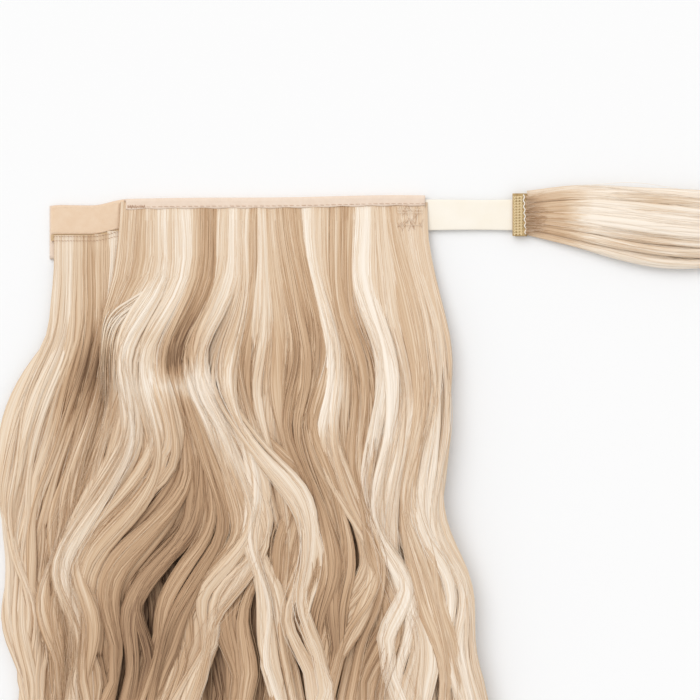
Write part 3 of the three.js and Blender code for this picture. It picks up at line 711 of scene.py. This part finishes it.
def hair_pieces(name, node_name, rng, paths, half, high, tone, tops, strands, parts, stray):
    """One body of broad smooth ribbons of fibre, whose fibres drift a little across them, and single
    fibres over the topmost ribbons, tops of them, in some more pieces."""
    count, steps, _ = paths.shape
    swing = np.sin(2 * np.pi * (np.linspace(0, 2.2, steps)[None] + rng.uniform(0, 1, (count, 1))))
    starts = rng.uniform(0.03, 0.72, (count, 1)) + 0.02 * swing
    # Each ribbon's sides are 0.1 darker: painted shade, so that it looks rounded and lighter along its
    # crown.
    made = tubes(paths, half, high, tone - 0.03, (starts, RIBBON_SPAN), sides=10, edge=0.1)
    pieces = [mesh_piece(name + "_locks", *shell(made))]
    top_ribbons = (part[:tops] for part in (paths, half, high, tone))
    places, thin, tones = fibres_on(rng, *top_ribbons, strands, stray)
    starts = rng.uniform(0, 0.99, (strands, 1))
    for part in range(parts):
        own = slice(part, None, parts)
        made = tubes(places[own], thin[own], 0.6 * thin[own], tones[own], (starts[own], FIBRE_SPAN))
        pieces.append(mesh_piece(f"{name}_strands_{part + 1}", *shell(made), smooth=False))
    for piece in pieces:
        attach(piece, "root")
        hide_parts(node_name)


def lay_row(name, node_name, locks, seed, ribbons, strands, parts, root, floor, top, width, clump, held):
    """One sewn row: ribbons side by side at the band, which part and cross further down, and under them two
    broad ones for each lock, a little darker as painted shade in the gaps between the locks. The steps are
    long near the band, where the hair is straight, short as far as the photograph shows, and long again
    below."""
    rng = np.random.default_rng(seed)
    straight = 70
    wavy, below = np.linspace(straight, SEEN, 27), np.linspace(SEEN, CURTAIN_END, 8)
    spacing = np.concatenate([np.linspace(0, straight, 8), wavy[1:], below[1:]])
    every = np.arange(len(locks))
    lock = np.concatenate([np.repeat(every, ribbons), np.repeat(every, 2)])
    tops = ribbons * len(locks)
    on_top = np.arange(len(lock)) < tops
    side_by_side = np.tile((np.arange(ribbons) + 0.5) / ribbons, len(locks))
    order = np.concatenate([side_by_side, np.tile((0.25, 0.75), len(locks))])
    across = order - 0.5 + rng.uniform(-0.05, 0.05, len(lock)) * on_top
    height = np.where(on_top, 0.96 - 0.28 * rng.uniform(0, 1, len(lock)) ** 1.5, 0.6)
    paths, depths, tone, share = lie(
        rng, locks, lock, across, height, root, floor, top, width, clump, wander=1.5, spacing=spacing,
    )
    tip = 1 - 0.8 * smooth((depths - 0.8 * CURTAIN_END) / (0.2 * CURTAIN_END))
    phase = rng.uniform(0, 2 * np.pi, (len(lock), 1))
    lens = 1 + 0.3 * smooth((depths - 90) / 60) * wave(depths, RIBBON_SWELL, phase)
    overlap = np.where(on_top, 1.15 / ribbons, 0.35)[:, None]
    half = np.clip(share, 4, 16) * overlap * lens * rng.uniform(0.85, 1.15, (len(lock), 1)) * tip * mm
    high = (0.28 + 0.62 * smooth((depths - 25) / 120)) * tip * mm
    paths[..., 2] -= 0.6 * (high - 0.28 * mm)
    paths[..., 2] = np.maximum(paths[..., 2], high + 0.1 * mm)
    paths = tuck(paths, depths, held)
    # The broad ribbons underneath are 0.02 darker: painted shade for where they show between the locks.
    tone = tone + np.where(on_top, rng.normal(0, 0.035, len(lock)), 0.02)[:, None]
    hair_pieces(name, node_name, rng, paths, half, high, tone, tops, strands, parts, stray=3.0)


lay_row(
    "lower_row", "lower_hair", LOWER_LOCKS, seed=4, ribbons=5, strands=480, parts=1, root=LOWER_ROOT,
    floor=lower_floor, top=lower_top, width=13, clump=0.3, held=LOWER_HELD,
)
lay_row(
    "upper_row", "upper_hair", UPPER_LOCKS, seed=11, ribbons=4, strands=1600, parts=2, root=UPPER_ROOT,
    floor=lower_top, top=upper_top, width=9, clump=0.74, held=UPPER_HELD,
)

# Loose hairs: single fibres that have worked out of the waves along both sides and over the top, and the
# brushed-up tangle over the left of the upper row, whose hairs cross it and turn down in a pale edge.
rng = np.random.default_rng(61)
loose = 150
LOOSE_LOCKS = (0, 1, 2, 3, 12, 18, 24, 25, 26)
edge = rng.choice(LOOSE_LOCKS, loose)
spacing = np.linspace(0, CURTAIN_END, 44)
across = rng.uniform(-0.9, 0.9, loose)
height = rng.uniform(1, 1.25, loose)
paths, depths, tone, _ = lie(
    rng, UPPER_LOCKS, edge, across, height, root=4, floor=lower_top, top=upper_top, width=12, clump=0.5,
    wander=1.0, spacing=spacing,
)
start = rng.uniform(20, 190, (loose, 1))
away = rng.choice([-1, 1], (loose, 1)) * rng.uniform(1, 5.5, (loose, 1)) * mm
paths[..., 0] += away * np.sin(np.pi * np.clip((depths - start) / 110, 0, 1)) ** 2
paths = tuck(paths, depths, UPPER_HELD)
thin = 0.075 * mm * (1 - 0.6 * smooth((depths - 300) / 96))
tone = tone + rng.normal(0.05, 0.12, (loose, 1))
made = tubes(paths, thin, 0.8 * thin, tone, (rng.uniform(0, 0.99, (loose, 1)), FIBRE_SPAN))
flyaways = mesh_piece("loose_hairs", *shell(made), smooth=False)

# The tangle's two sides, the pale outer one and the inner one: how far down and how far across each is at
# seven places, and each hair keeps to a lane between them.
SWEEP_DEPTHS = ((40, 48, 55, 61, 69, 83, 104), (54, 64, 73, 83, 96, 110, 132))
SWEEP_X = ((-38, -44, -54.5, -63, -67.5, -69, -69.5), (-31, -36.5, -44.5, -50.5, -53, -53, -51))
tangled, wisps = 110, 26
along = np.linspace(0, 1, 30)[None]
lane = rng.uniform(0, 1, (tangled, 1))
lane[:wisps] = 0.55 * lane[:wisps] ** 2
lane_x = through(SWEEP_X, 1, 6 * along[0])
lane_depths = through(SWEEP_DEPTHS, 1, 6 * along[0])
bend = rng.uniform(0, 2 * np.pi, (tangled, 1)) + along * rng.uniform(3, 7, (tangled, 1))
x = lane_x[:1] * (1 - lane) + lane_x[1:] * lane + rng.uniform(0.2, 0.9, (tangled, 1)) * np.sin(bend)
depths = lane_depths[:1] * (1 - lane) + lane_depths[1:] * lane + rng.uniform(-4, 4, (tangled, 1))
z = upper_top(depths) * rng.uniform(0.93, 1.0, (tangled, 1)) + 0.3
paths = points_at(x, BAND_TOP - depths, z) * mm
fade = smooth(along / 0.3) * (1 - smooth((along - 0.6) / 0.4))
broad = np.arange(tangled)[:, None] < wisps
thin = np.where(broad, rng.uniform(0.25, 0.6, (tangled, 1)), rng.uniform(0.07, 0.14, (tangled, 1)))
thin = thin * (0.06 + 0.94 * fade) * mm
tone = np.where(broad, rng.uniform(0.0, 0.16, (tangled, 1)), rng.uniform(0.08, 0.46, (tangled, 1)))
made = tubes(paths, thin, 0.3 * thin, tone, (rng.uniform(0, 0.9, (tangled, 1)), 0.05), sides=5)
tangle = mesh_piece("tangled_hairs", *shell(made))
for piece in (flyaways, tangle):
    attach(piece, "root")

# The hook strap: smooth cream nylon tape, woven with fine cross ribs and a firm selvedge at both edges.
# Its tongue is sewn into the hem, and its far end into the small lock's weft. In between it is drawn in a
# little by the sewing, and waves.
STRAP_LEFT, STRAP_RIGHT = 89.7, 148.5
STRAP_TOP, STRAP_BOTTOM = 2, 18
STRAP_BASE, STRAP_THICK = 1.3, 1.2
STRAP_WAIST, STRAP_WAVE = 0.035, 0.12


def strap_material():
    """Nylon tape, smooth with a low gloss: cream, clouded over 11 mm with a warmer cream, with cross ribs
    1 mm apart as bump."""
    material, tree, shader = new_material("cream_nylon_tape", Roughness=0.42, Specular_IOR_Level=0.4)
    place = node(tree, "ShaderNodeTexCoord").outputs["Object"]
    cloud = node(tree, "ShaderNodeTexNoise", Vector=place, Scale=90, Detail=2).outputs[0]
    blend(tree, shader, cloud, "#fbf5ea", "#f6ecda")
    across = {"bands_direction": "X"}
    ribs = node(tree, "ShaderNodeTexWave", across, Vector=place, Scale=320, Distortion=0.3).outputs[1]
    bump = node(tree, "ShaderNodeBump", Height=ribs, Strength=0.2, Distance=0.0001).outputs[0]
    tree.links.new(bump, shader.inputs["Normal"])
    return material


def strap_edges(x):
    """The strap's upper and lower edge, which are straight."""
    return STRAP_TOP + 0 * x, STRAP_BOTTOM + 0 * x


cream_nylon = strap_material()
strap_points = crowned_strip(
    STRAP_LEFT, STRAP_RIGHT, strap_edges, STRAP_BASE, STRAP_THICK, crown=0, steps=(90, 30),
)
waist = np.sin(np.pi * smooth((strap_points[..., 0] - BAND_RIGHT) / (STRAP_RIGHT - BAND_RIGHT)))
middle = BAND_TOP - (STRAP_TOP + STRAP_BOTTOM) / 2
strap_points[..., 1] += (middle - strap_points[..., 1]) * STRAP_WAIST * waist
strap_points[..., 2] += STRAP_WAVE * np.sin((strap_points[..., 0] - 97) / 9) * waist
strap = swept("hook_strap_tape", strap_points[:, ::-1] * mm, cream_nylon)
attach(strap, "root")
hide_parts("hook_strap")

# The hooks: rows of small stiff nylon hooks, cut from loops, under the strap. They close on the loop patch.
# Each is a four-sided thread that drops from the tape and curls round, slightly glossy as drawn nylon is.
HOOKS_LEFT, HOOKS_RIGHT = 98.9, 141.3
HOOKS_TOP, HOOKS_BOTTOM = 3.4, 16.6
HOOK_PITCH = 1.2
HOOK_STEPS, HOOK_SIDES = 6, 4
HOOK_RADIUS, HOOK_DROP, HOOK_CURL, HOOK_REACH = 0.09, 0.95, 0.35, 0.3
nylon_hooks, _, _ = new_material("cream_nylon_hooks", Base_Color=linear("#f8efdc"), Roughness=0.35)
across = np.arange(HOOKS_LEFT, HOOKS_RIGHT, HOOK_PITCH)
down = np.arange(HOOKS_TOP, HOOKS_BOTTOM, HOOK_PITCH)
grid_x, grid_depth = np.meshgrid(across, down)
hook_x = (grid_x + 0.3 * HOOK_PITCH * (np.arange(len(down)) % 2)[:, None]).reshape(-1, 1)
hook_y = BAND_TOP - grid_depth.reshape(-1, 1)
bend = np.linspace(0, 1.25 * np.pi, HOOK_STEPS)
drop = HOOK_DROP * np.sin(np.minimum(bend, np.pi / 2))
curl = HOOK_CURL * (1 - np.cos(np.maximum(bend - np.pi / 2, 0)))
hook_paths = points_at(hook_x + HOOK_REACH * (1 - np.cos(bend)), hook_y, STRAP_BASE - drop + curl)
turns = 2 * np.pi * np.arange(HOOK_SIDES) / HOOK_SIDES
ring = HOOK_RADIUS * points_at(0, np.cos(turns), np.sin(turns))
hook_points = hook_paths[:, :, None] + ring
hook_points[..., 0] += ring[:, 2] * np.sin(bend)[:, None]
# Their rings turn the other way round, so their faces do too.
walls, caps = tube_faces(len(hook_x), HOOK_STEPS, HOOK_SIDES)
faces = [walls[:, [0, 3, 2, 1]], caps[:, ::-1]]
hooks = mesh_piece("strap_hooks", hook_points.reshape(-1, 3) * mm, faces, nylon_hooks)
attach(hooks, "root")
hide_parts("hook_field")

# The small lock's weft: its roots' knitted strip, folded over the strap's end and sewn in golden thread.
# Its face is columns of chain stitches with open holes between them, and bars across all the columns. A
# matt white cotton cord runs along the fold.
golden_cloth = cloth_material("golden_knitted_weft", "#dcc18f", "#8f6d42", 0.9, 0.5, 0.85)
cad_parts["lock_weft"].data.materials[0] = golden_cloth
golden_thread, _, _ = new_material("golden_thread", Base_Color=linear("#f1dcb0"), Roughness=0.6)
white_cord, _, _ = new_material("white_cord", Base_Color=linear("#fdf8ee"), Roughness=0.8)
WEFT_TOP_Y, WEFT_LOW_Y = 15.7, -5.7
WEFT_FACE = 3.85
CHAIN_COLUMNS, CHAIN_PITCH = (143.7, 145.4, 147.1), 1.45
CORD_X, CORD_RADIUS = 148.9, 0.3
chain_y = np.arange(WEFT_LOW_Y, WEFT_TOP_Y - 1.4, CHAIN_PITCH)
legs = []
for column in CHAIN_COLUMNS:
    for offset in (-0.5, 0.5):
        low = points_at(column, chain_y, WEFT_FACE)
        legs.append((low, low + (offset, 1.5, 0.12)))
bars = points_at(CHAIN_COLUMNS[0] - 0.5, chain_y + 0.7, WEFT_FACE - 0.05)
legs.append((bars, bars + (4.6, 0.5, 0)))
low, high = (np.concatenate(side) for side in zip(*legs))
stitches("weft_chain_stitches", low, high, 0.21, golden_thread, arch=0.2)
cord_y = np.linspace(WEFT_LOW_Y + 0.6, WEFT_TOP_Y - 0.4, 60)
cord_x = CORD_X + 0.35 * np.sin(cord_y * 1.9) - 0.05 * (cord_y - 5)
cord_points = points_at(cord_x, cord_y, WEFT_FACE + 0.2)
stitches("weft_white_cord", cord_points[:-1], cord_points[1:], CORD_RADIUS, white_cord)

# The small lock: finer hair of the same fibre, ash brown at its roots and cream beyond them. It is wound
# round the band in wear and held with a pin, and lies here in one slow wave.
WRAP_STATION = 25
WRAP_START, WRAP_END = 150.4, 350.2
# Each lock's tones, at its roots and beyond them, and its y at every 25 mm out from the weft.
WRAP_LOCKS = [
    ("wrap_a", 0.34, 0.06, (-3.2, -8.5, -14.5, -19.0, -19.5, -17.0, -13.5, -10.0, -8.0)),
    ("wrap_b", 0.44, 0.1, (-1.0, -5.5, -10.5, -14.5, -15.5, -13.5, -10.5, -8.0, -6.5)),
    ("wrap_c", 0.5, 0.08, (1.5, -1.5, -5.5, -9.0, -10.5, -9.5, -7.5, -5.5, -4.5)),
    ("wrap_d", 0.52, 0.0, (4.0, 2.5, -0.5, -3.5, -5.5, -5.5, -4.5, -3.5, -3.0)),
    ("wrap_e", 0.48, 0.0, (6.0, 6.0, 4.0, 1.5, -0.5, -1.5, -1.5, -1.5, -1.5)),
    ("wrap_f", 0.42, 0.0, (8.5, 10.0, 8.5, 6.5, 4.5, 2.5, 1.5, 0.5, 0.0)),
    ("wrap_g", 0.34, 0.04, (11.5, 13.5, 12.5, 11.0, 9.0, 6.5, 4.5, 3.0, 1.5)),
    ("wrap_h", 0.26, 0.06, (15.0, 17.5, 16.8, 15.5, 13.5, 10.5, 7.5, 5.5, 3.5)),
]
WRAP_TOP = (3.4, 6.8, 9.6, 10.4, 10.0, 8.6, 6.6, 4.0, 1.8)
WRAP_RIBBONS, WRAP_LOCK_WIDTH = 5, 3
rng = np.random.default_rng(31)
count = WRAP_RIBBONS * len(WRAP_LOCKS)
lock = np.arange(count) % len(WRAP_LOCKS)
reach = 1 - 0.12 * rng.uniform(0, 1, (count, 1)) ** 2
x = WRAP_START + np.linspace(0, 1, 34)[None] * (WRAP_END - WRAP_START) * reach
table = np.array([row[3] for row in WRAP_LOCKS])
centres = through(table, WRAP_STATION, (x[0] - WRAP_START) / reach[0])
out = (x - WRAP_START) / (WRAP_END - WRAP_START)
taper = 1 - 0.6 * smooth((out - 0.55) / 0.45)
across = rng.uniform(-0.6, 0.6, (count, 1))
phase = rng.uniform(0, 2 * np.pi, (count, 1))
y = centres[lock] + WRAP_LOCK_WIDTH * across * taper + 0.6 * smooth(out * 5) * np.sin(x / 24 + phase)
height = 0.94 - 0.35 * rng.uniform(0, 1, (count, 1)) ** 1.5
inner = 1 - 0.5 * (2 * (lock[:, None] + 0.5) / len(WRAP_LOCKS) - 1) ** 2
top = through(WRAP_TOP, WRAP_STATION, (x - WRAP_START).ravel())[0].reshape(x.shape)
tip = 1 - 0.75 * smooth((out - 0.8) / 0.2)
half = rng.uniform(0.85, 1.15, (count, 1)) * (1.3 + 0.7 * smooth(out * 4)) * tip * mm
high = (0.35 + 0.5 * smooth(out * 4)) * tip * mm
z = 0.7 + (top - 1.2) * height * inner - 0.6 * high / mm
tones = np.array([row[1:3] for row in WRAP_LOCKS])[lock]
below = smooth((x - 166) / 22)
tone = tones[:, :1] * (1 - below) + tones[:, 1:] * below + rng.normal(0, 0.04, (count, 1))
paths = points_at(x, y, np.maximum(z, high / mm + 0.1)) * mm
hair_pieces(
    "wrap_lock", "wrap_lock", rng, paths, half, high, tone, tops=count, strands=340, parts=1, stray=3.5,
)

# Short ends of the folded roots, which stand out of the small weft over the lock's start. They are single
# fibres, cut off where the weft was sewn.
rng = np.random.default_rng(12)
ends = 110
along = np.linspace(0, 1, 8)[None]
reach = rng.uniform(2.5, 12, (ends, 1))
lean, bend = rng.normal(0, 0.16, (2, ends, 1))
x = CORD_X + 0.4 + along * reach
y = rng.uniform(WEFT_LOW_Y + 0.6, WEFT_TOP_Y - 0.6, (ends, 1)) + reach * (lean * along + bend * along**2)
z = 4.2 + 0.5 * np.sin(np.pi * along) + rng.uniform(-0.5, 0.9, (ends, 1)) * along
paths = points_at(x, y, z) * mm
thin = rng.uniform(0.08, 0.15, (ends, 1)) * (1 - 0.6 * along) * mm
tone = rng.choice([0.2, 0.42, 0.6], (ends, 1))
made = tubes(paths, thin, thin, tone, (rng.uniform(0, 0.9, (ends, 1)), 0.01))
short_ends = mesh_piece("weft_short_ends", *shell(made), smooth=False)
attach(short_ends, "root")
